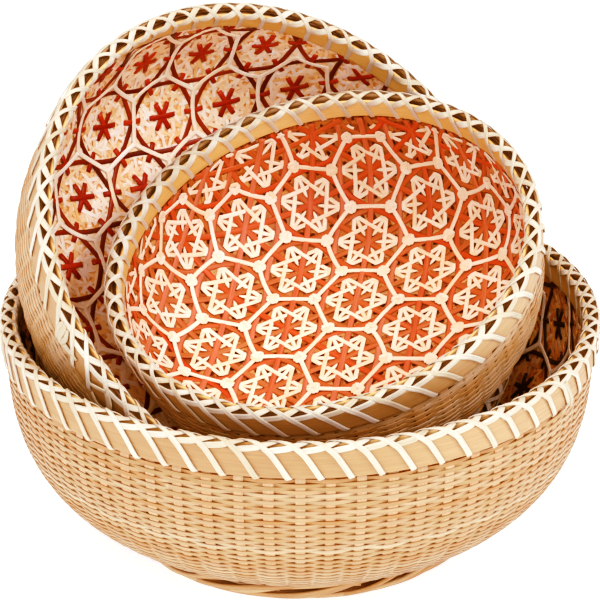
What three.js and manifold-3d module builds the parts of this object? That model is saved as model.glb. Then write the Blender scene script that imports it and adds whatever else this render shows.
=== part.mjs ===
// Nested set of three round woven bamboo bowls. Millimetres, +Z up, origin on the floor
// under the centre of the large bowl, which stands level; the front of the set faces -Y.
import * as THREE from "three";
import { mergeVertices } from "three/addons/utils/BufferGeometryUtils.js";
import Module from "manifold-3d";

// Driving dimensions of the set
const SEGMENTS = 32;
const WALL_T = 2.4;
const LINER_T = 1.2;
const OUTER_HOOP_T = 2.2;
const INNER_HOOP_T = 2.0;
const GAP = 0.3;
const LASH_T = 1.0;
const LASH_W = 3.4;
// How far round the rim a strip of lashing shifts on its way down the hoop
const LASH_SHIFT = 9.5;
const LASH_CAP_T = 2.7;
const FOOT_T = 6.0;

// The wall's widest outside radius and its outside radius at the rim, beyond the rim radius
const BELLY = 2.6;
const WALL_OUT = 1.5;
// How far the wall's and the hoops' top edges lie below the top of the rim
const EDGE_DROP = 2;

// Proportions shared by the three bowls, as fractions of the rim radius
const DEPTH = 0.783;
const BASE_R = 0.41;
const BASE_Z = 0.041;
const FOOT_R = 0.7;
const CURVE_R = 2.28;
const CURVE_Z = 2.675;

// Angles, in degrees, at which the wall's curve is sampled from the base to its widest place
const CURVE_STEPS = [0, 14, 28, 42, 56, 72, 90];

// One entry per bowl: rim radius, hoop height, turns of lashing, colour of the liner, and how it
// lies in the set: the centre of its rim, and the heading and tilt of its axis in degrees
const BOWLS = [
  {
    name: "large",
    rim: 180,
    hoop: 19,
    turns: 68,
    linerColour: 0x8a5a34,
    centre: [0, 0, DEPTH * 180],
    heading: 0,
    tilt: 0,
  },
  {
    name: "medium",
    rim: 160,
    hoop: 18,
    turns: 60,
    linerColour: 0xb0603c,
    centre: [-1.8, -3.0, 180.3],
    heading: -53,
    tilt: 47.8,
  },
  {
    name: "small",
    rim: 129,
    hoop: 17,
    turns: 48,
    linerColour: 0xe0805c,
    centre: [10.2, -22.4, 188.6],
    heading: -121.8,
    tilt: 25.3,
  },
];

const wasm = await Module();
wasm.setup();

function material(color, roughness) {
  return new THREE.MeshStandardMaterial({ color, roughness, metalness: 0 });
}

function rimHeight(bowl) {
  return DEPTH * bowl.rim;
}

// Outside profile of a bowl's wall from the edge of the flat base up to the foot of the hoop
function outerProfile(bowl) {
  const hoopFoot = rimHeight(bowl) - bowl.hoop;
  const widest = hoopFoot - 6;
  const base = BASE_Z * bowl.rim;
  const inner = BASE_R * bowl.rim;
  const span = bowl.rim + BELLY - inner;
  const points = CURVE_STEPS.map((deg) => {
    const a = THREE.MathUtils.degToRad(deg);
    const s = Math.pow(Math.sin(a), 2 / CURVE_R);
    const c = Math.pow(Math.max(Math.cos(a), 0), 2 / CURVE_Z);
    return [inner + span * s, widest - (widest - base) * c];
  });
  points.push([bowl.rim + WALL_OUT, hoopFoot + 1]);
  return points;
}

// The wall's profile moved inwards by a distance, along its normals, with its base flat
function offsetProfile(bowl, distance) {
  const points = outerProfile(bowl);
  const last = points.length - 1;
  const moved = points.map(([r, z], i) => {
    const [r0, z0] = points[Math.max(i - 1, 0)];
    const [r1, z1] = points[Math.min(i + 1, last)];
    const length = Math.hypot(r1 - r0, z1 - z0);
    return [r - ((z1 - z0) / length) * distance, z + ((r1 - r0) / length) * distance];
  });
  moved[0] = [points[0][0], points[0][1] + distance];
  return moved;
}

// A skin that follows the wall, between two distances inwards from the wall's outside
function skin(bowl, near, far, edgeDrop) {
  const outer = offsetProfile(bowl, near);
  const inner = offsetProfile(bowl, far);
  const top = rimHeight(bowl) - edgeDrop;
  outer.push([bowl.rim + WALL_OUT - near, top]);
  inner.push([bowl.rim + WALL_OUT - far, top]);
  return revolve([[0, outer[0][1]], ...outer, ...inner.reverse(), [0, inner[inner.length - 1][1]]]);
}

// Closed solid of revolution about Z from a closed (r, z) outline
function revolve(outline) {
  const ring = outline.map(([r, z]) => new THREE.Vector2(r, z));
  if (outline[0][0] > 0 || outline[outline.length - 1][0] > 0) {
    ring.push(ring[0].clone());
  }
  const lathe = new THREE.LatheGeometry(ring, SEGMENTS);
  lathe.rotateX(Math.PI / 2);
  lathe.deleteAttribute("normal");
  lathe.deleteAttribute("uv");
  return faceOut(clean(mergeVertices(lathe, 1e-4)));
}

// Drops triangles that have no area
function clean(geometry) {
  const index = geometry.index.array;
  const kept = [];
  for (let i = 0; i < index.length; i += 3) {
    const [a, b, c] = [index[i], index[i + 1], index[i + 2]];
    if (a !== b && b !== c && c !== a) {
      kept.push(a, b, c);
    }
  }
  geometry.setIndex(kept);
  return geometry;
}

// Turns a closed solid's triangles so that they face outwards
function faceOut(geometry) {
  const p = geometry.attributes.position;
  const index = Array.from(geometry.index.array);
  const [a, b, c] = [new THREE.Vector3(), new THREE.Vector3(), new THREE.Vector3()];
  let volume = 0;
  for (let i = 0; i < index.length; i += 3) {
    a.fromBufferAttribute(p, index[i]);
    b.fromBufferAttribute(p, index[i + 1]);
    c.fromBufferAttribute(p, index[i + 2]);
    volume += a.dot(b.cross(c));
  }
  if (volume < 0) {
    for (let i = 0; i < index.length; i += 3) {
      [index[i], index[i + 1]] = [index[i + 1], index[i]];
    }
    geometry.setIndex(index);
  }
  return geometry;
}

// Woven wall and base, one shell open at the rim
function wovenWall(bowl) {
  return skin(bowl, 0, WALL_T, EDGE_DROP);
}

// Patterned liner lying against the inside of the wall
function liner(bowl) {
  return skin(bowl, WALL_T + GAP, WALL_T + GAP + LINER_T, EDGE_DROP + 0.5);
}

// Flat bamboo band round the rim, with its top edge level with the wall's
function hoop(bowl, inside, thickness, height) {
  const top = rimHeight(bowl) - EDGE_DROP;
  const outside = inside + thickness;
  return revolve([[inside, top - height], [outside, top - height], [outside, top], [inside, top]]);
}

// Inside radius of the outer hoop
function outerHoopInside(bowl) {
  return bowl.rim + WALL_OUT + GAP;
}

// Inside radius of the inner hoop, which clears the wall and the liner
function innerHoopInside(bowl) {
  return bowl.rim + WALL_OUT - WALL_T - GAP - LINER_T - GAP - INNER_HOOP_T;
}

function outerHoop(bowl) {
  return hoop(bowl, outerHoopInside(bowl), OUTER_HOOP_T, bowl.hoop - 2);
}

function innerHoop(bowl) {
  return hoop(bowl, innerHoopInside(bowl), INNER_HOOP_T, bowl.hoop - 4);
}

function toManifold(geometry) {
  const merged = mergeVertices(geometry, 1e-4);
  const vertProperties = new Float32Array(merged.attributes.position.array);
  const triVerts = new Uint32Array(merged.index.array);
  return new wasm.Manifold(new wasm.Mesh({ numProp: 3, vertProperties, triVerts }));
}

function fromManifold(solid) {
  const mesh = solid.getMesh();
  const geometry = new THREE.BufferGeometry();
  const n = mesh.numProp;
  const count = mesh.vertProperties.length / n;
  const position = new Float32Array(count * 3);
  for (let i = 0; i < count; i += 1) {
    for (let k = 0; k < 3; k += 1) {
      position[i * 3 + k] = mesh.vertProperties[i * n + k];
    }
  }
  geometry.setAttribute("position", new THREE.BufferAttribute(position, 3));
  geometry.setIndex(Array.from(mesh.triVerts));
  return geometry;
}

// One slanted strip of lashing, down the outside of the hoop
function lashingStrip(bowl, radius, turn) {
  const top = rimHeight(bowl);
  const drop = bowl.hoop - 1;
  const lean = Math.atan2(LASH_SHIFT, drop);
  const strip = new THREE.BoxGeometry(LASH_T, LASH_W, drop / Math.cos(lean));
  strip.deleteAttribute("normal");
  strip.deleteAttribute("uv");
  strip.rotateX(-lean);
  strip.translate(radius + LASH_T / 2, 0, top - drop / 2);
  strip.rotateZ(((turn + 0.5) * 2 * Math.PI) / bowl.turns);
  return strip;
}

// Lashing: a cap along the top of the rim with one slanted strip per turn
function lashing(bowl) {
  const inside = innerHoopInside(bowl);
  const stripInside = outerHoopInside(bowl) + OUTER_HOOP_T + GAP + 0.2;
  const outside = stripInside + LASH_T + 0.1;
  const low = rimHeight(bowl) - EDGE_DROP + GAP;
  const high = low + LASH_CAP_T;
  const solids = [toManifold(revolve([[inside, low], [outside, low], [outside, high], [inside, high]]))];
  for (let turn = 0; turn < bowl.turns; turn += 1) {
    solids.push(toManifold(lashingStrip(bowl, stripInside, turn)));
  }
  return faceOut(fromManifold(wasm.Manifold.union(solids)));
}

// Height of the underside of the wall at a radius
function wallHeight(bowl, radius) {
  const points = outerProfile(bowl);
  const i = points.findIndex(([r]) => r > radius);
  const [a, b] = [points[i - 1], points[i]];
  return a[1] + ((b[1] - a[1]) * (radius - a[0])) / (b[0] - a[0]);
}

// Foot ring of laid cane strands, with a flat underside, close under the wall
function footRing(bowl) {
  const r = FOOT_R * bowl.rim;
  const half = FOOT_T / 2;
  const near = wallHeight(bowl, r - half) - GAP;
  const far = wallHeight(bowl, r + half - 1) - GAP;
  return revolve([
    [r - half + 1, 0],
    [r + half - 1, 0],
    [r + half, 0.2 * near],
    [r + half, 0.8 * near],
    [r + half - 1, far],
    [r - half, near],
    [r - half, 0.2 * near],
  ]);
}

// One bowl as a group, with its own origin at the centre of its rim
function makeBowl(bowl) {
  const pieces = {
    woven_wall: [wovenWall(bowl), material(0xd9b98a, 0.7)],
    liner: [liner(bowl), material(bowl.linerColour, 0.6)],
    outer_hoop: [outerHoop(bowl), material(0xcfa368, 0.5)],
    inner_hoop: [innerHoop(bowl), material(0xd3ab74, 0.5)],
    rim_lashing: [lashing(bowl), material(0xf0e2c4, 0.6)],
    foot_ring: [footRing(bowl), material(0xd0aa78, 0.65)],
  };
  const group = new THREE.Group();
  for (const [name, [geometry, look]] of Object.entries(pieces)) {
    geometry.computeVertexNormals();
    const mesh = new THREE.Mesh(geometry, look);
    mesh.name = `${bowl.name}_${name}`;
    mesh.position.z = -rimHeight(bowl);
    group.add(mesh);
  }
  const heading = THREE.MathUtils.degToRad(bowl.heading);
  const tilt = THREE.MathUtils.degToRad(bowl.tilt);
  group.rotation.set(0, tilt, heading, "ZYX");
  group.position.set(...bowl.centre);
  return group;
}

const set = new THREE.Group();
set.name = "nested_bamboo_bowls";
for (const bowl of BOWLS) {
  set.add(makeBowl(bowl));
}

export default set;
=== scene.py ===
import math
import bpy
import numpy as np
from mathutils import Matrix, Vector


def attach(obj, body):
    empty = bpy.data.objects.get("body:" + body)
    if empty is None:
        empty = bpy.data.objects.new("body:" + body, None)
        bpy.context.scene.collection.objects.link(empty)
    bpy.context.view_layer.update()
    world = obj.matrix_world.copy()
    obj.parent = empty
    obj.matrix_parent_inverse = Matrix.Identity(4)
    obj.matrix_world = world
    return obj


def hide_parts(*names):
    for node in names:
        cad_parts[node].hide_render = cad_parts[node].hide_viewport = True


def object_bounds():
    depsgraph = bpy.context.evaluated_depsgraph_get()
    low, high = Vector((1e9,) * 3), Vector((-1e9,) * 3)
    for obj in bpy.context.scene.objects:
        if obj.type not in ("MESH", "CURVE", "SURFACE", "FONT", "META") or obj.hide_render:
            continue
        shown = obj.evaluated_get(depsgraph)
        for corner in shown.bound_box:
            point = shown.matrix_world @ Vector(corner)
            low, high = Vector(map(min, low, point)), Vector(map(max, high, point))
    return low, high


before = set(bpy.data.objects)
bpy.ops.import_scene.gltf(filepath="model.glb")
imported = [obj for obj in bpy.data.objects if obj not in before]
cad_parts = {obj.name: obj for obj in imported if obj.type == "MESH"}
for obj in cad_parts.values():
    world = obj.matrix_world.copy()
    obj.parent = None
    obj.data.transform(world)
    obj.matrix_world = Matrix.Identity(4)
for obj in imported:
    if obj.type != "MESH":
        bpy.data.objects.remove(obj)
cad_low, cad_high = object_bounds()

# Lengths of the bowls are in millimetres until a mesh is made
MM = 0.001
TAU = 2 * math.pi
rng = np.random.default_rng(11)

# The radial stack at the rim, measured out from the rim radius
WALL_OUT = 1.5
HOOP_INSIDE = 1.8
HOOP_OUTSIDE = 4.0
INNER_HOOP_OUTSIDE = -2.7
INNER_HOOP_INSIDE = -4.7

# The bands' and the wall's top edges below the rim's top, and the inner band's foot above the outer's
EDGE_DROP = 2.0
INNER_HOOP_RAISE = 2.0

# The wall's outline: its base and foot as fractions of the rim radius, the powers of its side's curve, and
# how far it is widest beyond the rim radius and below the outer band
BASE_R = 0.41
BASE_Z = 0.041
FOOT_R = 0.677
CURVE_R = 2.28
CURVE_Z = 2.675
BELLY = 2.6
BELLY_DROP = 6.0

# The wall's weave: its strips, how deep they lie, and how far they wave in and out
STAKE_W = 5.9
STAKE_T = 0.7
STAKE_DEPTH = 1.3
STAKE_GIVE = 0.22
ROW_PITCH = 2.16
WEAVER_T = 0.75
WEAVER_SWING = 0.64
MAT_W = 6.0
MAT_PITCH = 7.6

# The binding of the rim
LASH_W = 3.3
LASH_T = 0.7
LASH_SLANT = 9.5

# The liner's ground: how far in from the wall's outside it lies, and its thickness. The inner hoop covers
# the edge of the liner, where the strips stop short
LINER_INSET = 3.9
GROUND_T = 0.9
HOOP_COVER = 15.0

# A small star's straight sides, and its points
STAR_APOTHEM = 11.0
STAR_HALF = 15.8
STAR_TIP = 19.4

# Each bowl's own counts, how its liner's honeycomb lies and bends, and its liner's colour
BOWLS = {
    "large": dict(turns=68, pitch=48.5, turn=30.0, cell=(202.0, 54.1), shrink=0.02, bow=0.9, liner="brown"),
    "medium": dict(
        turns=60, pitch=48.24, turn=-1.9, cell=(-7.2, -22.9), shrink=0.022, bow=0.9, liner="dark_red"
    ),
    "small": dict(turns=48, pitch=48.85, turn=107.7, cell=(6.5, -42.5), shrink=0.016, bow=1.3, liner="red"),
}


# ---------------------------------------------------------------- camera, floor and light

CAMERA_AIM = Vector((0.0, 0.0, 0.1379))
CAMERA_RISE = math.radians(25.66)
CAMERA_DISTANCE = 0.9978
CAMERA_LENS = 96.0
FLOOR_REACH = 30.0

# Linear light in, linear light out: all channels together, then red, green and blue on their own
TONE_CURVES = {
    3: [(0.06, 0.036), (0.2, 0.17), (0.5, 0.51), (0.8, 0.82)],
    0: [(0.1, 0.13), (0.25, 0.325), (0.6, 0.675), (0.8, 0.82)],
    1: [(0.06, 0.046), (0.15, 0.13), (0.35, 0.35), (0.7, 0.72)],
    2: [(0.02, 0.004), (0.05, 0.014), (0.11, 0.075), (0.2, 0.2), (0.35, 0.38), (0.6, 0.67), (0.85, 0.92)],
}


def place_camera():
    data = bpy.data.cameras.new("camera")
    data.lens = CAMERA_LENS
    data.sensor_width = 36.0
    camera = bpy.data.objects.new("camera", data)
    bpy.context.scene.collection.objects.link(camera)
    back = Vector((0.0, -math.cos(CAMERA_RISE), math.sin(CAMERA_RISE)))
    camera.location = CAMERA_AIM + back * CAMERA_DISTANCE
    camera.rotation_euler = back.to_track_quat("Z", "Y").to_euler()
    bpy.context.scene.camera = camera


def area_light(name, size, watts, place, colour):
    data = bpy.data.lights.new(name, "AREA")
    data.shape = "DISK"
    data.size = size
    data.energy = watts
    data.color = colour
    light = bpy.data.objects.new(name, data)
    bpy.context.scene.collection.objects.link(light)
    light.location = place
    away = Vector(place) - CAMERA_AIM
    light.rotation_euler = away.to_track_quat("Z", "Y").to_euler()


def set_tones(view):
    """A bright, contrasty studio exposure: deeper and warmer shades, lighter and cooler lights."""
    view.view_transform = "Standard"
    view.use_curve_mapping = True
    for channel, places in TONE_CURVES.items():
        curve = view.curve_mapping.curves[channel]
        for place in places:
            curve.points.new(*place)
    view.curve_mapping.update()


def light_scene():
    scene = bpy.context.scene
    set_tones(scene.view_settings)
    world = bpy.data.worlds.new("studio")
    world.use_nodes = True
    sky = world.node_tree.nodes["Background"]
    sky.inputs["Color"].default_value = (1.0, 0.93, 0.83, 1.0)
    sky.inputs["Strength"].default_value = 0.7
    scene.world = world
    area_light("key_light", 0.8, 26.0, (1.5, -0.7, 1.65), (0.92, 0.99, 1.1))
    area_light("fill_light", 1.0, 16.5, (-0.2, -1.55, 1.1), (0.93, 0.98, 1.04))
    area_light("top_light", 0.9, 15.0, (-0.35, 0.15, 2.0), (1.0, 0.88, 0.74))
    area_light("side_light", 0.8, 5.0, (-1.5, -0.45, 0.35), (0.8, 0.98, 1.25))


def lay_floor():
    mesh = bpy.data.meshes.new("floor")
    corners = [(x * FLOOR_REACH, y * FLOOR_REACH, 0.0) for x, y in ((-1, -1), (1, -1), (1, 1), (-1, 1))]
    mesh.from_pydata(corners, [], [(0, 1, 2, 3)])
    floor = bpy.data.objects.new("floor", mesh)
    bpy.context.scene.collection.objects.link(floor)
    floor.location.z = cad_low[2]
    material = bpy.data.materials.new("floor_paper")
    material.use_nodes = True
    shader = material.node_tree.nodes["Principled BSDF"]
    shader.inputs["Base Color"].default_value = (0.93, 0.93, 0.92, 1.0)
    shader.inputs["Roughness"].default_value = 0.9
    shader.inputs["Emission Color"].default_value = (0.88, 0.96, 1.0, 1.0)
    shader.inputs["Emission Strength"].default_value = 0.45
    mesh.materials.append(material)


# ---------------------------------------------------------------- materials

# Bamboos and canes: the colours from strip to strip and of the stains, as 0 to 255, and what else differs.
# The stakes' and the foot's last colour is painted shade: a dark brown on the core canes behind them,
# standing in for the shadow in the gaps where they show
BAMBOOS = {
    "stakes": dict(
        name="stake_bamboo",
        strips=[(190, 157, 119), (198, 168, 131), (194, 156, 116), (84, 58, 34)],
        stain=(178, 134, 92),
    ),
    "weavers": dict(
        name="weaver_bamboo",
        strips=[
            (170, 142, 99), (177, 149, 108), (183, 159, 122), (177, 149, 113),
            (192, 173, 139), (182, 154, 116), (170, 130, 84), (183, 161, 124),
        ],
        stain=(172, 128, 80),
        stained=0.3,
    ),
    "outer_hoop": dict(
        name="hoop_bamboo",
        strips=[(172, 139, 98), (178, 147, 105), (188, 157, 116)],
        stain=(164, 128, 84),
        streaked=0.11,
    ),
    "inner_hoop": dict(
        name="inner_hoop_bamboo",
        strips=[(212, 172, 112), (220, 182, 122), (228, 192, 136)],
        stain=(200, 152, 92),
        streaked=0.11,
    ),
    "lashing": dict(
        name="lashing_cane",
        strips=[(200, 190, 168), (210, 203, 184), (190, 177, 148)],
        stain=(184, 167, 130),
        stained=0.4,
    ),
    "foot": dict(
        name="foot_cane",
        strips=[(206, 174, 130), (222, 196, 154), (194, 156, 108), (88, 56, 30)],
        stain=(172, 128, 80),
    ),
    "natural": dict(
        name="liner_natural",
        strips=[(250, 232, 204), (252, 240, 218), (248, 224, 188)],
        stain=(242, 208, 164),
        streaked=0.1,
        stained=0.3,
    ),
    "star": dict(
        name="liner_star",
        strips=[(240, 220, 192), (244, 228, 206), (236, 210, 174)],
        stain=(232, 196, 152),
        streaked=0.12,
    ),
    "natural_infill": dict(
        name="liner_natural_infill",
        strips=[
            (254, 236, 210), (248, 212, 160), (254, 244, 228),
            (246, 194, 130), (252, 230, 202), (254, 242, 226),
        ],
        stain=(244, 200, 142),
        streaked=0.1,
    ),
    "brown_infill": dict(
        name="liner_brown_infill",
        strips=[
            # The near-white colour here is painted light: strips of it stand in for the glints where light
            # shows through the plaiting
            (254, 206, 138), (236, 150, 76), (255, 238, 204),
            (188, 104, 46), (255, 216, 152), (232, 144, 72),
        ],
        stain=(220, 136, 68),
        rough=(0.22, 0.4),
        coat=0.5,
    ),
    "red_infill": dict(
        name="liner_red_infill",
        strips=[(166, 92, 48), (204, 136, 84), (216, 168, 116), (140, 70, 34), (200, 126, 76)],
        stain=(134, 72, 36),
        streaked=0.22,
    ),
    "red": dict(
        name="liner_red",
        strips=[
            (188, 114, 72), (208, 84, 48), (200, 124, 84), (206, 122, 88), (210, 130, 100),
            (202, 104, 72), (200, 122, 84), (210, 90, 56), (190, 118, 76),
        ],
        stain=(194, 74, 40),
        streaked=0.22,
    ),
    "dark_red": dict(
        name="liner_dark_red",
        strips=[(96, 18, 8), (142, 42, 18), (190, 84, 44), (160, 26, 14), (200, 62, 34)],
        stain=(92, 16, 8),
        streaked=0.2,
        coat=0.15,
    ),
    "brown": dict(
        name="liner_brown",
        strips=[(60, 20, 8), (80, 30, 10), (48, 16, 6)],
        stain=(34, 12, 4),
        streaked=0.2,
        coat=0.4,
    ),
}

# The dark and the light of the plaiting behind each liner's straps: partly its own colour and partly
# painted shade, darker than the straps so that the gaps between them read as shadow
PAINTED_SHADE_GROUNDS = {
    "red_ground": [(56, 18, 4), (112, 38, 12)],
    "natural_ground": [(214, 142, 78), (246, 200, 142)],
    "brown_ground": [(150, 70, 24), (220, 134, 62)],
}

# Tones of the stakes' and the foot's own strips, and of the core behind them, which takes their last colour
# as painted shade
OWN_TONES = (0, 0.66)
CORE_PAINTED_SHADE_TONE = 1.0


def linear(colour):
    """An sRGB colour of 0 to 255 as the linear colour that nodes take."""
    parts = [c / 255 for c in colour]
    return tuple(p / 12.92 if p <= 0.04045 else ((p + 0.055) / 1.055) ** 2.4 for p in parts) + (1.0,)


class Nodes:
    """Short calls for building one material's node tree."""

    def __init__(self, name):
        self.material = bpy.data.materials.new(name)
        self.material.use_nodes = True
        self.tree = self.material.node_tree
        self.shader = self.tree.nodes["Principled BSDF"]

    def link(self, source, target):
        self.tree.links.new(source, target)

    def attribute(self, name):
        node = self.tree.nodes.new("ShaderNodeAttribute")
        node.attribute_name = name
        return node

    def object_place(self):
        return self.tree.nodes.new("ShaderNodeTexCoord").outputs["Object"]

    def stretched(self, vector, scale):
        node = self.tree.nodes.new("ShaderNodeMapping")
        node.inputs["Scale"].default_value = scale
        self.link(vector, node.inputs["Vector"])
        return node.outputs["Vector"]

    def noise(self, vector, scale, detail):
        node = self.tree.nodes.new("ShaderNodeTexNoise")
        node.inputs["Scale"].default_value = scale
        node.inputs["Detail"].default_value = detail
        self.link(vector, node.inputs["Vector"])
        return node.outputs["Fac"]

    def spread(self, noise, low, high):
        """A noise, which lies mostly from 0.3 to 0.7, spread over low to high."""
        node = self.tree.nodes.new("ShaderNodeMapRange")
        node.inputs["From Min"].default_value = 0.3
        node.inputs["From Max"].default_value = 0.7
        node.inputs["To Min"].default_value = low
        node.inputs["To Max"].default_value = high
        self.link(noise, node.inputs["Value"])
        return node.outputs["Result"]

    def ramp(self, value, stops):
        node = self.tree.nodes.new("ShaderNodeValToRGB")
        points = node.color_ramp.elements
        points[0].position, points[0].color = stops[0]
        points[1].position, points[1].color = stops[-1]
        for position, colour in stops[1:-1]:
            points.new(position).color = colour
        self.link(value, node.inputs["Fac"])
        return node.outputs["Color"]

    def tinted(self, colour, tint, amount):
        node = self.tree.nodes.new("ShaderNodeMix")
        node.data_type = "RGBA"
        self.link(amount, node.inputs["Factor"])
        self.link(colour, node.inputs["A"])
        node.inputs["B"].default_value = tint
        return node.outputs["Result"]

    def scaled(self, colour, factor):
        """A colour made darker or lighter by a number that varies over the surface."""
        node = self.tree.nodes.new("ShaderNodeVectorMath")
        node.operation = "SCALE"
        self.link(colour, node.inputs[0])
        self.link(factor, node.inputs["Scale"])
        return node.outputs["Vector"]

    def bump(self, height, distance, strength):
        node = self.tree.nodes.new("ShaderNodeBump")
        node.inputs["Distance"].default_value = distance
        node.inputs["Strength"].default_value = strength
        self.link(height, node.inputs["Height"])
        self.link(node.outputs["Normal"], self.shader.inputs["Normal"])


def bamboo(name, strips, stain, streaked=0.16, stained=0.35, rough=(0.38, 0.6), coat=0.0):
    """Split bamboo: a colour for each strip, long fibres, a stain that comes and goes, and fine grooves."""
    nodes = Nodes(name)
    steps = np.linspace(0.0, 1.0, len(strips))
    tone = nodes.attribute("tone").outputs["Fac"]
    colour = nodes.ramp(tone, [(step, linear(strip)) for step, strip in zip(steps, strips)])
    fibre = nodes.attribute("fibre").outputs["Vector"]
    grain = nodes.noise(nodes.stretched(fibre, (55.0, 1400.0, 1.0)), 1.0, 3.0)
    mottle = nodes.noise(nodes.stretched(fibre, (18.0, 60.0, 1.0)), 1.0, 2.0)
    colour = nodes.tinted(colour, linear(stain), nodes.spread(mottle, 0.0, stained))
    colour = nodes.scaled(colour, nodes.spread(grain, 1.0 - streaked, 1.0 + 0.35 * streaked))
    nodes.link(colour, nodes.shader.inputs["Base Color"])
    nodes.link(nodes.spread(grain, rough[1], rough[0]), nodes.shader.inputs["Roughness"])
    nodes.shader.inputs["Specular IOR Level"].default_value = 0.35
    nodes.shader.inputs["Coat Weight"].default_value = coat
    nodes.shader.inputs["Coat Roughness"].default_value = 0.25
    nodes.bump(grain, 0.00018, 0.8)
    return nodes.material


def backing(name, dark, light):
    """The close plaiting behind a liner's straps, seen only as small dark gaps: its colour is partly its
    own and partly painted shade for those gaps.
    """
    nodes = Nodes(name)
    fine = nodes.noise(nodes.object_place(), 420.0, 3.0)
    colour = nodes.ramp(fine, [(0.35, linear(dark)), (0.65, linear(light))])
    nodes.link(colour, nodes.shader.inputs["Base Color"])
    nodes.link(nodes.spread(fine, 0.85, 0.6), nodes.shader.inputs["Roughness"])
    nodes.bump(fine, 0.0006, 1.0)
    return nodes.material


def make_materials():
    materials = {use: bamboo(**look) for use, look in BAMBOOS.items()}
    for use, (dark, light) in PAINTED_SHADE_GROUNDS.items():
        materials[use] = backing("liner_" + use, dark, light)
    return materials


# ---------------------------------------------------------------- strips and pieces

# Outlines of a strip's section, across and above its middle line, in widths and thicknesses
SECTIONS = {
    "plain": [(-0.5, -0.5), (0.5, -0.5), (0.5, 0.5), (-0.5, 0.5)],
    "flat": [(-0.5, -0.5), (0.5, -0.5), (0.5, 0.1), (0.32, 0.5), (-0.32, 0.5), (-0.5, 0.1)],
    "round": [(0.5 * math.cos(TAU * (k - 2.5) / 6), 0.5 * math.sin(TAU * (k - 2.5) / 6)) for k in range(6)],
    "band": [
        (-0.46, -0.5), (0.46, -0.5), (0.5, -0.3), (0.5, 0.2), (0.47, 0.44), (0.4, 0.5),
        (0.0, 0.5), (-0.4, 0.5), (-0.47, 0.44), (-0.5, 0.2), (-0.5, -0.3),
    ],
}


def unit(vectors):
    return vectors / np.maximum(np.linalg.norm(vectors, axis=-1, keepdims=True), 1e-12)


def circle(steps):
    """Angles once round, the last one step short of the first."""
    return np.linspace(0, TAU, steps + 1)[:-1]


class Piece:
    """The strips of one visible piece, gathered until its mesh is made."""

    def __init__(self, bowl, part, material, slot, replaced, smooth=False):
        self.bowl = bowl
        self.name = bowl.name + "_" + part
        self.material = material
        self.slot = slot
        self.replaced = bowl.name + "_" + replaced
        self.smooth = smooth
        self.count = 0
        self.points = []
        self.faces = []
        self.tones = []
        self.fibres = []

    def solid(self, points, faces, tones, fibres):
        """Adds vertices, and faces given as arrays of corners that count from the first of them."""
        self.points.append(points)
        self.tones.append(tones)
        self.fibres.append(fibres)
        self.faces += [corners + self.count for corners in faces]
        self.count += len(points)

    def strips(self, place, width, thick, tone, section="flat", closed=False):
        """Strips along paths, which place gives as points and facings of (strip, point, xyz)."""
        paths, facing = place
        count, steps = paths.shape[:2]
        if closed:
            ahead = unit(np.roll(paths, -1, 1) - np.roll(paths, 1, 1))
        else:
            ahead = unit(np.gradient(paths, axis=1))
        side = unit(np.cross(facing, ahead))
        above = np.cross(ahead, side)
        outline = np.array(SECTIONS[section])
        corners = len(outline)
        across = np.broadcast_to(width, (count, steps))[..., None] * outline[:, 0]
        over = np.broadcast_to(thick, (count, steps))[..., None] * outline[:, 1]
        points = paths[:, :, None] + side[:, :, None] * across[..., None]
        points = points + above[:, :, None] * over[..., None]

        index = np.arange(count * steps * corners).reshape(count, steps, corners)
        first = index if closed else index[:, :-1]
        after = np.roll(index, -1, 1) if closed else index[:, 1:]
        quads = np.stack([first, np.roll(first, -1, 2), np.roll(after, -1, 2), after], -1).reshape(-1, 4)
        faces = [quads] if closed else [quads, index[:, 0, ::-1], index[:, -1]]

        gaps = np.linalg.norm(np.diff(paths, axis=1, prepend=paths[:, :1]), axis=2)
        along = np.cumsum(gaps, 1)[..., None] + np.zeros(corners)
        seed = rng.uniform(0, 100, (count, 1, 1)) + np.zeros((steps, corners))
        fibres = np.stack([along * MM, across * MM, seed], -1)
        tones = np.broadcast_to(tone, (count, steps))[..., None] + np.zeros(corners)
        self.solid(points.reshape(-1, 3), faces, tones.reshape(-1), fibres.reshape(-1, 3))

    def make(self):
        points = self.bowl.world(np.concatenate(self.points))
        sizes = np.concatenate([np.full(len(f), f.shape[1]) for f in self.faces])
        corners = np.concatenate([f.ravel() for f in self.faces])
        starts = np.concatenate([[0], np.cumsum(sizes)[:-1]])
        mesh = bpy.data.meshes.new(self.name)
        mesh.vertices.add(len(points))
        mesh.vertices.foreach_set("co", points.ravel())
        mesh.loops.add(len(corners))
        mesh.loops.foreach_set("vertex_index", corners.astype(np.int32))
        mesh.polygons.add(len(sizes))
        mesh.polygons.foreach_set("loop_start", starts.astype(np.int32))
        mesh.polygons.foreach_set("use_smooth", np.full(len(sizes), self.smooth))
        mesh.update(calc_edges=True)
        tone = mesh.attributes.new("tone", "FLOAT", "POINT")
        tone.data.foreach_set("value", np.concatenate(self.tones))
        fibre = mesh.attributes.new("fibre", "FLOAT_VECTOR", "POINT")
        fibre.data.foreach_set("vector", np.concatenate(self.fibres).ravel())
        mesh.materials.append(self.material)
        piece = bpy.data.objects.new(self.name, mesh)
        bpy.context.scene.collection.objects.link(piece)
        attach(piece, self.bowl.name + "_bowl")
        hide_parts(self.replaced)


# ---------------------------------------------------------------- a bowl's frame and outline


def corners_of(node):
    """The different vertices of a CAD node."""
    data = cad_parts[node].data.vertices
    points = np.zeros(len(data) * 3)
    data.foreach_get("co", points)
    return np.unique(points.reshape(-1, 3).round(6), axis=0)


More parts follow.
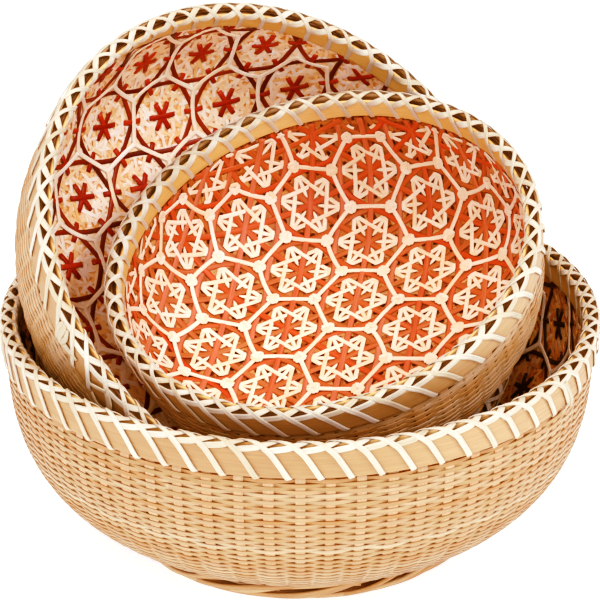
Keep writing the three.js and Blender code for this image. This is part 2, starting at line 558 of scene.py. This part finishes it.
class Bowl:
    """One bowl's frame: z runs up its axis from the foot's underside, x towards where it leans."""

    def __init__(self, name):
        self.name = name
        self.form = BOWLS[name]
        hoop = corners_of(name + "_outer_hoop")
        centre = hoop.mean(0)
        axis = np.linalg.svd(hoop - centre)[2][2]
        axis *= np.sign(axis[2])
        lean = math.hypot(axis[0], axis[1])
        ahead = np.array([1.0, 0.0, 0.0])
        if lean > 1e-4:
            ahead = np.array([axis[0] / lean * axis[2], axis[1] / lean * axis[2], -lean])
        self.axes = np.array([ahead, np.cross(axis, ahead), axis])
        foot = corners_of(name + "_foot_ring")
        self.origin = centre + axis * ((foot - centre) @ axis).min()
        hoop = (hoop - self.origin) @ self.axes.T / MM
        self.rim = np.hypot(hoop[:, 0], hoop[:, 1]).max() - HOOP_OUTSIDE
        self.height = hoop[:, 2].max() + EDGE_DROP
        self.hoop_foot = hoop[:, 2].min()
        self.hoop = self.height - self.hoop_foot
        self.turns = self.form["turns"]
        self.outside = Surface(self, 0.0, True)

    def world(self, points):
        return self.origin + points @ self.axes * MM

    def outline(self):
        """Radius and height along the outside of the wall, from the axis to the top edge."""
        inner = BASE_R * self.rim
        base = BASE_Z * self.rim
        widest = self.hoop_foot - BELLY_DROP
        turn = np.linspace(0, math.pi / 2, 240)
        curve_r = inner + (self.rim + BELLY - inner) * np.sin(turn) ** (2 / CURVE_R)
        curve_z = widest - (widest - base) * np.cos(turn) ** (2 / CURVE_Z)
        flat_r = np.linspace(0, inner, 40)[:-1]
        straight_z = np.linspace(self.hoop_foot + 1, self.height - EDGE_DROP, 20)
        r = np.concatenate([flat_r, curve_r, np.full_like(straight_z, self.rim + WALL_OUT)])
        z = np.concatenate([np.full_like(flat_r, base), curve_z, straight_z])
        return r, z


class Surface:
    """A surface turned round a bowl's axis, inset from the wall's outside, facing out or in."""

    def __init__(self, bowl, inset, faces_out):
        r, z = bowl.outline()
        ahead = unit(np.stack([np.gradient(r), np.gradient(z)], -1))
        self.out_r = ahead[:, 1]
        self.out_z = -ahead[:, 0]
        self.r = np.maximum(r - inset * self.out_r, 0.0)
        self.z = z - inset * self.out_z
        self.arc = np.concatenate([[0], np.cumsum(np.hypot(np.diff(self.r), np.diff(self.z)))])
        self.length = self.arc[-1]
        self.sign = 1.0 if faces_out else -1.0

    def arc_at(self, radius):
        """How far along the surface that radius is first reached."""
        rising = slice(0, int(np.argmax(self.r)) + 1)
        return float(np.interp(radius, self.r[rising], self.arc[rising]))

    def radius(self, arc):
        return np.interp(arc, self.arc, self.r)

    def height(self, arc):
        return np.interp(arc, self.arc, self.z)

    def place(self, arc, angle, lift=0.0):
        """Points and facings at distances along the surface and angles round the axis."""
        arc, angle, lift = np.broadcast_arrays(arc, angle, lift)
        out = np.stack([np.interp(arc, self.arc, self.out_r), np.interp(arc, self.arc, self.out_z)], -1)
        out = unit(out) * self.sign
        r = self.radius(arc) + lift * out[..., 0]
        z = self.height(arc) + lift * out[..., 1]
        points = np.stack([r * np.cos(angle), r * np.sin(angle), z], -1)
        facing = np.stack([out[..., 0] * np.cos(angle), out[..., 0] * np.sin(angle), out[..., 1]], -1)
        return points, facing


# ---------------------------------------------------------------- the wall


def weaver_rows(bowl):
    """How far up the wall each weaver lies."""
    start = bowl.outside.arc_at(BASE_R * bowl.rim + 4)
    end = bowl.outside.length - bowl.hoop + EDGE_DROP - 3.3
    return np.linspace(start, end, int((end - start) / ROW_PITCH))


def make_stakes(bowl, material):
    """The uprights, the core canes over their ends and the mat under their feet, which is the base."""
    piece = Piece(bowl, "stakes", material, "wall_weave", "woven_wall")
    add_uprights(bowl, piece)
    add_rim_core(bowl, piece)
    add_mat(bowl, piece)
    piece.make()


def add_uprights(bowl, piece):
    """One stake to each turn of the lashing, which gives way in and out where it passes the weavers."""
    stake = np.arange(bowl.turns)[:, None]
    rows = weaver_rows(bowl)
    pitch = rows[1] - rows[0]
    passing = (rows[:, None] + pitch * np.array([-0.3, 0.3])).ravel()
    foot = np.linspace(bowl.outside.arc_at(BASE_R * bowl.rim - 3), passing[0] - 2, 4)
    head = np.linspace(passing[-1] + 2, bowl.outside.length - 1.5, 6)
    arcs = np.concatenate([foot, passing, head])
    give = np.zeros((bowl.turns, len(arcs)))
    row = np.repeat(np.arange(len(rows)), 2)
    give[:, len(foot) : -len(head)] = -STAKE_GIVE * (-1.0) ** (stake + row)
    angles = TAU * (stake + rng.uniform(-0.03, 0.03, stake.shape)) / bowl.turns
    width = STAKE_W * rng.uniform(0.9, 1.08, stake.shape)
    tones = rng.uniform(*OWN_TONES, stake.shape)
    piece.strips(bowl.outside.place(arcs, angles, give - STAKE_DEPTH), width, STAKE_T, tones)


def add_rim_core(bowl, piece):
    """Two canes between the bands, low enough to leave the openings under the lashing dark, and coloured
    dark brown as painted shade in those openings.
    """
    turn = circle(180)[None]
    for radius, drop in ((bowl.rim + 0.6, 4.0), (bowl.rim - 1.6, 4.4)):
        points = np.stack([radius * np.cos(turn), radius * np.sin(turn), bowl.height - drop + 0 * turn], -1)
        up = np.zeros_like(points) + np.array([0.0, 0.0, 1.0])
        # The canes take the stakes' last colour, a painted shade for the openings
        piece.strips((points, up), 2.2, 1.6, CORE_PAINTED_SHADE_TONE, "round", closed=True)


def add_mat(bowl, piece):
    """Flat strips that cross over and under each other."""
    reach = BASE_R * bowl.rim + 7
    across = np.arange(-reach + MAT_PITCH / 2, reach, MAT_PITCH)[:, None]
    along = np.linspace(-1, 1, 48) * np.sqrt(reach**2 - across**2)
    number = np.arange(len(across))[:, None]
    level = BASE_Z * bowl.rim + 0.4
    for quarter in (0, 1):
        swing = 0.45 * np.sin(math.pi * (along / MAT_PITCH + number + quarter))
        flat = [along, across + 0 * along]
        points = np.stack([flat[quarter], flat[1 - quarter], level + swing], -1)
        down = np.zeros_like(points) + np.array([0.0, 0.0, -1.0])
        piece.strips((points, down), MAT_W, STAKE_T, rng.uniform(*OWN_TONES, across.shape))


def make_weavers(bowl, material):
    """Rows of fine strips that pass in front of one stake and behind the next, turn about."""
    arcs = weaver_rows(bowl)[:, None]
    rows = len(arcs)
    pitch = TAU * bowl.outside.radius(arcs) / bowl.turns
    half = np.minimum(0.55 * STAKE_W / pitch, 0.38)
    stake = np.arange(bowl.turns)
    angles = np.stack([stake - half, stake + half, stake + 0.5 + 0 * half], -1).reshape(rows, -1)
    angles *= TAU / bowl.turns
    over = (-1.0) ** (stake + np.arange(rows)[:, None])
    sway = np.stack([over, over, 0 * over], -1).reshape(rows, -1)
    wobble = 0.22 * np.sin(angles * rng.integers(2, 9, (rows, 1)) + rng.uniform(0, TAU, (rows, 1)))
    lift = -STAKE_DEPTH + sway * WEAVER_SWING
    width = ROW_PITCH * (0.96 + 0.1 * sway) * rng.uniform(0.94, 1.04, (rows, 1))
    place = bowl.outside.place(arcs + wobble, angles, lift)
    tones = spliced_tones(rows, angles.shape[1])
    piece = Piece(bowl, "weavers", material, "wall_weave", "woven_wall")
    piece.strips(place, width, WEAVER_T, tones, "plain", closed=True)
    piece.make()


def spliced_tones(rows, steps):
    """A tone for each weaver that changes where one strip ends and the next goes on."""
    tones = np.repeat(rng.uniform(0, 1, (rows, 1)), steps, 1)
    for row in tones:
        for start in rng.integers(0, steps, 3):
            row[start:] = rng.uniform(0, 1)
    return tones


# ---------------------------------------------------------------- the rim


def make_outer_hoop(bowl, material):
    piece = Piece(bowl, "outer_band", material, "hoop_bamboo", "outer_hoop", smooth=True)
    add_band(bowl, piece, HOOP_INSIDE, HOOP_OUTSIDE, bowl.hoop_foot)
    piece.make()


def make_inner_hoop(bowl, material):
    piece = Piece(bowl, "inner_band", material, "hoop_bamboo", "inner_hoop", smooth=True)
    add_band(bowl, piece, INNER_HOOP_OUTSIDE, INNER_HOOP_INSIDE, bowl.hoop_foot + INNER_HOOP_RAISE)
    piece.make()


def add_band(bowl, piece, near, far, low):
    """A band of split bamboo bent round the rim, its thinned ends lapped over each other."""
    top = bowl.height - EDGE_DROP
    lap = math.radians(16)
    angle = np.linspace(-math.pi / 3, TAU - math.pi / 3 + lap, 220)
    ends = np.minimum(np.minimum(angle - angle[0], angle[-1] - angle) / lap, 1.0)
    stack = np.where(angle > angle[-1] - lap, 0.5 - 0.5 * ends, 0.0)
    stack = np.where(angle < angle[0] + lap, -0.5 + 0.5 * ends, stack)
    r = bowl.rim + near + (far - near) * (0.5 + 0.5 * stack)
    points = np.stack([r * np.cos(angle), r * np.sin(angle), np.full_like(angle, (low + top) / 2)], -1)
    facing = np.sign(far - near) * np.stack([np.cos(angle), np.sin(angle), 0 * angle], -1)
    width = (top - low) * (1 + 0.01 * np.sin(7 * angle))
    thick = abs(far - near) * (0.25 + 0.75 * ends)
    tone = 0.5 + 0.5 * np.sin(3 * angle + bowl.rim)
    piece.strips((points[None], facing[None]), width, thick, tone, "band")


def rim_path(bowl, start, knots, steps):
    """One strand per turn through knots of (distance round the rim, radius, height, lean of its face)."""
    spans = np.linspace(0, len(knots) - 1, steps)
    knots = np.array(knots)
    padded = np.vstack([2 * knots[0] - knots[1], knots, 2 * knots[-1] - knots[-2]])
    first = np.minimum(spans.astype(int), len(knots) - 2)
    t = (spans - first)[:, None]
    a, b, c, d = (padded[first + k] for k in range(4))
    square = 2 * a - 5 * b + 4 * c - d
    cube = 3 * b - a - 3 * c + d
    curve = 0.5 * (2 * b + (c - a) * t + square * t**2 + cube * t**3)
    angle = start + curve[:, 0] / bowl.rim
    r = np.broadcast_to(bowl.rim + curve[:, 1], angle.shape)
    z = np.broadcast_to(bowl.height + curve[:, 2], angle.shape)
    lean = np.radians(curve[:, 3])
    level = np.cos(lean)
    points = np.stack([r * np.cos(angle), r * np.sin(angle), z], -1)
    facing = np.stack([level * np.cos(angle), level * np.sin(angle), np.sin(lean) + 0 * angle], -1)
    return points, facing


def make_lashing(bowl, material):
    """At every turn, one strip slants right up over the bands and one lies left along the top."""
    piece = Piece(bowl, "lashing", material, "lashing_strip", "rim_lashing")
    turn = np.arange(bowl.turns)[:, None]
    start = TAU * (turn + rng.uniform(-0.05, 0.05, turn.shape)) / bowl.turns
    tones = rng.uniform(0, 1, turn.shape)
    add_slanting(bowl, piece, start, tones)
    add_crossing(bowl, piece, start, np.roll(tones, 5))
    add_loose_ends(bowl, piece)
    piece.make()


def add_slanting(bowl, piece, start, tones):
    """Strips from under the outer band up over the rim, narrowed there, and down inside."""
    pitch = TAU * bowl.rim / bowl.turns
    out = HOOP_OUTSIDE + 0.5
    inside = INNER_HOOP_INSIDE - 0.5
    foot = -bowl.hoop
    knots = [
        (LASH_SLANT + 1.5, out - 3.4, foot - 1.0, -40),
        (LASH_SLANT + 0.5, out + 0.1, foot + 0.6, -8),
        (0.52 * LASH_SLANT, out + 0.5, 0.5 * foot, 0),
        (0, out + 0.2, -2.6, 15),
        (-0.5 * pitch, 0.9, 1.3, 75),
        (-pitch, inside, -2.2, 165),
        (-pitch - 0.3 * LASH_SLANT, inside, 0.5 * foot, 180),
        (-pitch - 0.5 * LASH_SLANT, inside + 0.9, foot + 1.4, 190),
    ]
    steps = 36
    narrow = 1 - 0.3 * np.exp(-(((np.linspace(0, 7, steps) - 4.1) / 0.75) ** 2))
    piece.strips(rim_path(bowl, start, knots, steps), LASH_W * narrow, LASH_T, tones)


def add_crossing(bowl, piece, start, tones):
    """Strips along the top that cross the slanting ones and tuck in at the inner edge."""
    pitch = TAU * bowl.rim / bowl.turns
    out = HOOP_OUTSIDE + 0.5
    inside = INNER_HOOP_INSIDE - 0.5
    knots = [
        (-0.16 * pitch, out - 1.2, -3.8, 0),
        (0.12 * pitch, out - 0.5, -2.0, 15),
        (0.6 * pitch, out - 0.9, -0.7, 25),
        (0.95 * pitch, 0.8, 0.2, 80),
        (1.35 * pitch, inside + 0.7, -1.5, 130),
        (1.7 * pitch, inside + 0.2, -4.2, 170),
        (1.9 * pitch, inside + 1.0, -6.2, 180),
    ]
    steps = 32
    wide = np.interp(np.linspace(0, 1, steps), [0, 0.4, 0.8, 1], [1, 1, 1.3, 1])
    piece.strips(rim_path(bowl, start, knots, steps), LASH_W * wide, LASH_T, tones)


# Ends of the lashing that come loose: the turn that each is at, its widths and its path. A place on the
# path is in pitches round the rim, distance out from the band and share of the band's height down
LOOSE_ENDS = {
    "large": [
        (
            61, [3.3, 3.4, 3.6, 2.8],
            [(0.14, 0.6, 0.12), (0.45, 0.9, 0.5), (0.72, 1.0, 0.9), (0.8, 0.2, 1.14)],
        ),
        (61, [1.4, 1.2, 0.8], [(0.62, 0.6, 0.9), (0.3, 1.0, 1.02), (0.1, 0.4, 1.12)]),
    ],
    "medium": [
        (
            46, [2.4, 3.6, 3.8, 2.4],
            [(-0.6, 0.2, 0.1), (-0.62, 0.9, 0.3), (-0.58, 1.0, 0.6), (-0.32, 0.4, 0.92)],
        ),
        (
            46, [2.6, 3.8, 4.0, 2.6],
            [(-0.48, 0.3, 0.08), (-0.4, 1.1, 0.3), (-0.36, 1.2, 0.6), (-0.24, 0.5, 0.94)],
        ),
        (
            46, [2.4, 3.6, 3.6, 2.2],
            [(-0.34, 0.2, 0.1), (-0.18, 0.9, 0.3), (-0.14, 1.0, 0.6), (-0.18, 0.4, 0.92)],
        ),
        (46, [5.0, 4.4, 1.6], [(-0.2, 0.4, 0.8), (0.15, 0.6, 0.66), (0.62, 0.5, 0.52)]),
        (
            48, [3.0, 2.6, 2.2, 1.2],
            [(0.0, 0.9, 0.14), (-0.3, 2.4, 0.26), (-0.5, 2.0, 0.46), (-0.6, 1.0, 0.5)],
        ),
        (
            48, [3.2, 3.2, 3.0, 2.8, 2.2],
            [(0.15, 0.3, 0.2), (0.45, 2.2, 0.4), (0.45, 2.8, 0.7), (0.1, 2.2, 0.92), (-0.3, 0.7, 0.86)],
        ),
    ],
    "small": [],
}


def add_loose_ends(bowl, piece):
    """The few tails and slipped turns that lie over the outer band."""
    pitch = TAU * bowl.rim / bowl.turns
    steps = 24
    face = HOOP_OUTSIDE + 0.5
    for turn, widths, path in LOOSE_ENDS[bowl.name]:
        knots = [(around * pitch, face + out, -down * bowl.hoop, 0) for around, out, down in path]
        width = np.interp(np.linspace(0, len(path) - 1, steps), np.arange(len(path)), widths)
        start = np.array([[TAU * turn / bowl.turns]])
        piece.strips(rim_path(bowl, start, knots, steps), width, LASH_T, 1.0)


# ---------------------------------------------------------------- the foot


def make_foot(bowl, material):
    """The foot: canes laid round in a loose twist, never quite evenly, over a core of two more, coloured
    dark brown as painted shade in the gaps between the canes.
    """
    piece = Piece(bowl, "foot_canes", material, "foot_cane", "foot_ring", smooth=True)
    radius = FOOT_R * bowl.rim - 0.5
    top = float(bowl.outside.height(bowl.outside.arc_at(radius))) - 0.2
    strands = 11
    thick = 0.0172 * bowl.rim
    angle = circle(360)[None]
    number = np.arange(strands)[:, None]
    unevenness = 0.5 * np.sin(3 * angle + 2 * number) + 0.3 * np.sin(7 * angle + number)
    twist = 4 * angle + TAU * number / strands + unevenness
    wave = (1.3 + 0.35 * (number % 3)) * np.cos(twist)
    tones = rng.uniform(*OWN_TONES, number.shape)
    add_canes(piece, radius + wave, top / 2, top - thick, twist, thick, tones)
    core = np.array([[-0.25 * math.pi], [0.25 * math.pi]]) + 0.1 * np.sin(5 * angle)
    # The core takes the foot's last colour, a painted shade for the gaps between the canes
    add_canes(piece, radius - 1.6 + 0 * angle, top / 2, 0.64 * top, core, 0.42 * top, CORE_PAINTED_SHADE_TONE)
    piece.make()


def add_canes(piece, radius, middle, height, turn, thick, tone):
    """Round canes run round the axis, each at its own radius and rising and falling with its turn."""
    radius, turn = np.broadcast_arrays(radius, turn)
    angle = circle(radius.shape[1])[None]
    z = middle + 0.5 * height * np.sin(turn)
    points = np.stack([radius * np.cos(angle), radius * np.sin(angle), z], -1)
    facing = np.stack([np.cos(angle), np.sin(angle), 0 * angle], -1) + np.zeros((len(radius), 1, 1))
    piece.strips((points, facing), thick, 0.8 * thick, tone, "round", closed=True)


# ---------------------------------------------------------------- the liners


class Honeycomb:
    """The liner's pattern laid out flat and wrapped into the bowl."""

    def __init__(self, bowl):
        form = bowl.form
        self.bowl = bowl
        self.surface = Surface(bowl, LINER_INSET, False)
        self.pitch = form["pitch"]
        self.side = self.pitch / math.sqrt(3)
        self.turn = math.radians(form["turn"])
        self.origin = np.array(form["cell"])
        self.shrink = form["shrink"]
        past_edge = 320.0
        flat = np.linspace(0, past_edge, 641)
        self.reach = float(np.interp(self.surface.length - HOOP_COVER, self.wrapped(flat), flat))
        self.middles = self.find_middles(self.reach + self.pitch)

    def wrapped(self, distance):
        """How far along the bowl's inside a distance from the middle of the flat pattern lies."""
        return distance * (1 + self.shrink * (distance / 100) ** 2)

    def find_middles(self, reach):
        """The flat places of the cells' middles."""
        count = int(2 * reach / self.pitch) + 4
        i, j = np.meshgrid(np.arange(-count, count + 1), np.arange(-count, count + 1))
        places = np.stack([1.5 * self.side * i, self.pitch * (j + 0.5 * i)], -1).reshape(-1, 2)
        places = self.origin + self.turned(places)
        return places[np.hypot(places[:, 0], places[:, 1]) < reach]

    def turned(self, places, degrees=0.0):
        angle = self.turn + math.radians(degrees)
        c, s = math.cos(angle), math.sin(angle)
        return places @ np.array([[c, s], [-s, c]])

    def ahead(self, degrees):
        """One step in a direction of the pattern."""
        return self.turned(np.array([[1.0, 0.0]]), degrees)[0]

    def wrap(self, places, lift):
        """Flat places of (strip, point, xy) as points and facings on the bowl's inside."""
        distance = np.hypot(places[..., 0], places[..., 1])
        angle = np.arctan2(places[..., 1], places[..., 0])
        return self.surface.place(self.wrapped(distance), angle, lift)

    def lines(self, degrees, spacing, offset, steps):
        """Straight runs across the liner: flat places, numbers, travel from a cell's row, and sideways."""
        ahead = self.ahead(degrees)
        across = np.array([ahead[1], -ahead[0]])
        middle = self.origin @ across
        most = int((self.reach + abs(middle) + offset) / spacing) + 1
        number = np.arange(-most, most + 1)
        shift = offset + spacing * number
        keep = np.abs(middle + shift) < self.reach - 4
        number, shift = number[keep], shift[keep]
        half = np.sqrt(self.reach**2 - (middle + shift) ** 2)
        travel = np.linspace(-1, 1, steps) * half[:, None] - self.origin @ ahead
        places = self.origin + travel[..., None] * ahead + shift[:, None, None] * across
        return places, number[:, None], travel, across

    def marks(self, centres, shape, degrees):
        """A small shape of (point, xy) repeated at centres and turned with the pattern."""
        return centres[:, None] + self.turned(shape, degrees)[None]

    def kept(self, places):
        """The strips whose every point is inside the hoop."""
        within = np.hypot(places[..., 0], places[..., 1]) < self.reach + 1
        return places[within.all(1)]

    def lay(self, piece, places, lift, width, thick, section="flat", tones=(0, 1)):
        """Adds strips wrapped into the bowl, each with a tone of its own."""
        tone = rng.uniform(*tones, (len(places), 1))
        piece.strips(self.wrap(places, lift), width, thick, tone, section)


def make_ground(comb, material, slot):
    """The close plaiting that carries the straps, a thin shell, coloured partly as painted shade for the
    gaps.
    """
    piece = Piece(comb.bowl, "liner_ground", material, slot, "liner", smooth=True)
    around = 128
    rings = 89
    arcs = np.linspace(0, comb.surface.length - 2, rings + 1)[1:, None]
    top, _ = comb.surface.place(arcs, circle(around))
    low, _ = comb.surface.place(arcs, circle(around), -GROUND_T)
    poles = np.array([[0, 0, top[0, 0, 2]], [0, 0, low[0, 0, 2]]])
    points = np.concatenate([top.reshape(-1, 3), low.reshape(-1, 3), poles])
    index = np.arange(rings * around).reshape(rings, around)
    below = index + rings * around
    after = np.roll(index, -1, 1)
    after_low = np.roll(below, -1, 1)
    pole = np.full(around, 2 * rings * around)
    faces = [
        np.stack([index[1:], after[1:], after[:-1], index[:-1]], -1).reshape(-1, 4),
        np.stack([below[:-1], after_low[:-1], after_low[1:], below[1:]], -1).reshape(-1, 4),
        np.stack([below[-1], after_low[-1], after[-1], index[-1]], -1),
        np.stack([index[0], after[0], pole], -1),
        np.stack([after_low[0], below[0], pole + 1], -1),
    ]
    piece.solid(points, faces, np.full(len(points), 0.5), points * MM)
    piece.make()


def make_infill(comb, material, slot):
    """Strips plaited in three directions, which show between the straps."""
    piece = Piece(comb.bowl, "liner_infill", material, slot, "liner")
    spacing = 7.0
    for degrees in (0, 60, 120):
        places, number, travel, _ = comb.lines(degrees, spacing, 0.5 * spacing, 100)
        lift = 0.4 + 0.26 * np.sin(TAU * travel / 22 + rng.uniform(0, TAU, number.shape))
        width = 3.8 * rng.uniform(0.85, 1.1, number.shape)
        comb.lay(piece, places, lift, width, 0.4, "plain")
    piece.make()


def make_floats(comb, material):
    """Close plaiting of fine strips in six directions: the short lengths where each comes to the top."""
    piece = Piece(comb.bowl, "liner_infill", material, "liner_natural", "liner")
    spacing = 0.05 * comb.bowl.rim
    period = 2.1 * spacing
    count = int(2 * comb.reach / spacing)
    row, step = np.meshgrid(np.arange(-count, count + 1), np.arange(-count, count + 1))
    for degrees in (0, 60, 120, 33, 93, 153):
        along = period * (step + 0.5 * row) + rng.uniform(-1.5, 1.5, row.shape)
        across = spacing * row + rng.uniform(-0.8, 0.8, row.shape)
        centres = comb.origin + comb.turned(np.stack([along, across], -1).reshape(-1, 2), degrees)
        half = rng.uniform(0.34, 0.46, (len(centres), 1)) * period
        reach = half * np.array([-1.0, -0.6, 0.6, 1.0])
        places = comb.kept(centres[:, None] + reach[..., None] * comb.ahead(degrees))
        lift = rng.uniform(0.3, 0.85, (len(places), 1)) + np.array([-0.7, 0, 0, -0.7])
        width = rng.uniform(2.0, 3.1, (len(places), 1))
        comb.lay(piece, places, lift, width, 0.4, "plain")
    add_knots(comb, piece, 5.0, 0.85)
    piece.make()


def make_dyed(comb, material, slot, ring_w, arm_w, level, dashes):
    """The dyed straps: rings round every cell, and straps through the cells' middles, long or dashed."""
    piece = Piece(comb.bowl, "liner_dyed_straps", material, slot, "liner", smooth=True)
    spacing = 1.5 * comb.side
    for degrees in (90, 150, 210):
        places, number, travel, across = comb.lines(degrees, spacing, 0.5 * spacing, 120)
        row = TAU * (travel / comb.pitch - 0.5 * number)
        places = places + (comb.bowl.form["bow"] * np.cos(row))[..., None] * across
        lift = level + 0.3 * np.sin(row)
        fading = 0.17 + 0.15 * np.sin(travel / 21 + rng.uniform(0, TAU, number.shape))
        tone = fading if dashes else family_tones(degrees, number.shape)
        piece.strips(comb.wrap(places, lift), ring_w, 0.8, tone)
    for order, degrees in enumerate((150, 210, 90)):
        raised = level + 0.2 + 0.15 * order
        if dashes:
            add_dashes(comb, piece, degrees, raised, arm_w)
            continue
        places, number, travel, _ = comb.lines(degrees, spacing, 0.0, 120)
        row = TAU * (travel / comb.pitch - 0.5 * number)
        tone = family_tones(degrees, number.shape)
        piece.strips(comb.wrap(places, raised - 0.35 * np.cos(row)), arm_w, 0.8, tone)
    piece.make()


def family_tones(degrees, shape):
    """Tones near the middle of the range for one direction, and towards its ends for the others."""
    near = rng.uniform(-0.13, 0.13, shape)
    return 0.5 + near if degrees == 90 else np.where(near > 0, near, 1 + near)


def add_dashes(comb, piece, degrees, level, width):
    """Short straps where the long ones come up: over each cell's middle, and over its edges."""
    lift = level + np.array([-0.9, -0.1, 0, 0, 0, -0.1, -0.9])
    for middle, half in ((0.0, 9.8), (0.5 * comb.pitch, 6.8)):
        run = middle + np.linspace(-half, half, 7)
        places = comb.kept(comb.marks(comb.middles, np.stack([run, 0 * run], -1), degrees))
        comb.lay(piece, places, lift, width, 0.8, tones=(0.68, 1))


def add_stars(comb, piece):
    """A six-pointed star in every cell: crossing strips, folds at the points and petals."""
    run = np.linspace(-STAR_HALF, STAR_HALF, 9)
    crossing = np.stack([np.full_like(run, STAR_APOTHEM), run], -1)
    crossing_lift = 1.55 + 0.22 * np.tanh(run / 3) * np.where(np.abs(run) < 10, 1, 0.4)
    turn = np.linspace(-2.9, 2.9, 4)
    fold = np.stack([STAR_TIP - 0.06 * turn**2, turn], -1)
    out = np.linspace(STAR_TIP - 0.5, 5.2, 7)
    petal = np.stack([out, 0 * out], -1)
    petal_w = np.interp(out, [5.2, 8.0, 12.0, STAR_TIP], [0.6, 2.3, 2.9, 2.0])
    for degrees in range(0, 360, 60):
        comb.lay(piece, comb.kept(comb.marks(comb.middles, crossing, degrees)), crossing_lift, 2.9, 0.55)
        comb.lay(piece, comb.kept(comb.marks(comb.middles, fold, degrees)), 1.7, 2.3, 0.5)
        comb.lay(piece, comb.kept(comb.marks(comb.middles, petal, degrees)), 1.5, petal_w, 0.5)


def add_knots(comb, piece, size, lift):
    """Where three honeycomb straps meet: three short strips laid round a small hole."""
    run = np.linspace(-1, 1, 7)
    shape = np.stack([0.6 * size + 0 * run, 0.9 * size * run], -1)
    width = 0.78 * size * (1 - 0.6 * np.abs(run) ** 3)
    for corner in (0, 60):
        places = comb.middles + comb.side * comb.ahead(corner)
        for third in (0, 120, 240):
            strips = comb.kept(comb.marks(places, shape, corner + third))
            comb.lay(piece, strips, lift + 0.2 * run, width, 0.5)


def add_honeycomb(comb, piece, width, bow):
    """The natural straps along the sides of the cells, each a little bowed."""
    half = 0.5 * comb.side
    run = np.linspace(-half, half, 9)
    shape = np.stack([np.full_like(run, 0.5 * comb.pitch), run], -1)
    for degrees in (30, 90, 150):
        places = comb.marks(comb.middles, shape, degrees)
        bend = rng.uniform(-bow, bow, (len(places), 1)) * (1 - (run / half) ** 2)
        places = comb.kept(places + bend[..., None] * comb.ahead(degrees))
        comb.lay(piece, places, 2.05, width, 0.7)


def make_natural(comb, material, stars):
    piece = Piece(comb.bowl, "liner_natural_straps", material, "liner_natural", "liner")
    if stars:
        add_stars(comb, piece)
        add_knots(comb, piece, 4.1, 2.3)
        add_honeycomb(comb, piece, 2.9, 1.5)
    else:
        add_honeycomb(comb, piece, 3.0, 1.9)
    piece.make()


def make_liner(bowl, materials):
    """The small bowl's liner has stars on open plaiting, and the others plain cells on close plaiting."""
    comb = Honeycomb(bowl)
    colour = bowl.form["liner"]
    slot = "liner_" + colour
    if colour == "red":
        make_ground(comb, materials["red_ground"], slot)
        make_infill(comb, materials["red_infill"], slot)
        make_dyed(comb, materials["red"], slot, 3.8, 4.0, 1.0, False)
        make_natural(comb, materials["star"], True)
        return
    shade = "brown" if colour == "brown" else "natural"
    make_ground(comb, materials[shade + "_ground"], "liner_natural")
    make_floats(comb, materials[shade + "_infill"])
    make_dyed(comb, materials[colour], slot, 3.2, 3.4, 1.3, True)
    make_natural(comb, materials["natural"], False)


# ---------------------------------------------------------------- the set


def make_bowl(name, materials):
    bowl = Bowl(name)
    make_stakes(bowl, materials["stakes"])
    make_weavers(bowl, materials["weavers"])
    make_outer_hoop(bowl, materials["outer_hoop"])
    make_inner_hoop(bowl, materials["inner_hoop"])
    make_lashing(bowl, materials["lashing"])
    make_foot(bowl, materials["foot"])
    make_liner(bowl, materials)


place_camera()
light_scene()
lay_floor()
all_materials = make_materials()
for bowl_name in BOWLS:
    make_bowl(bowl_name, all_materials)
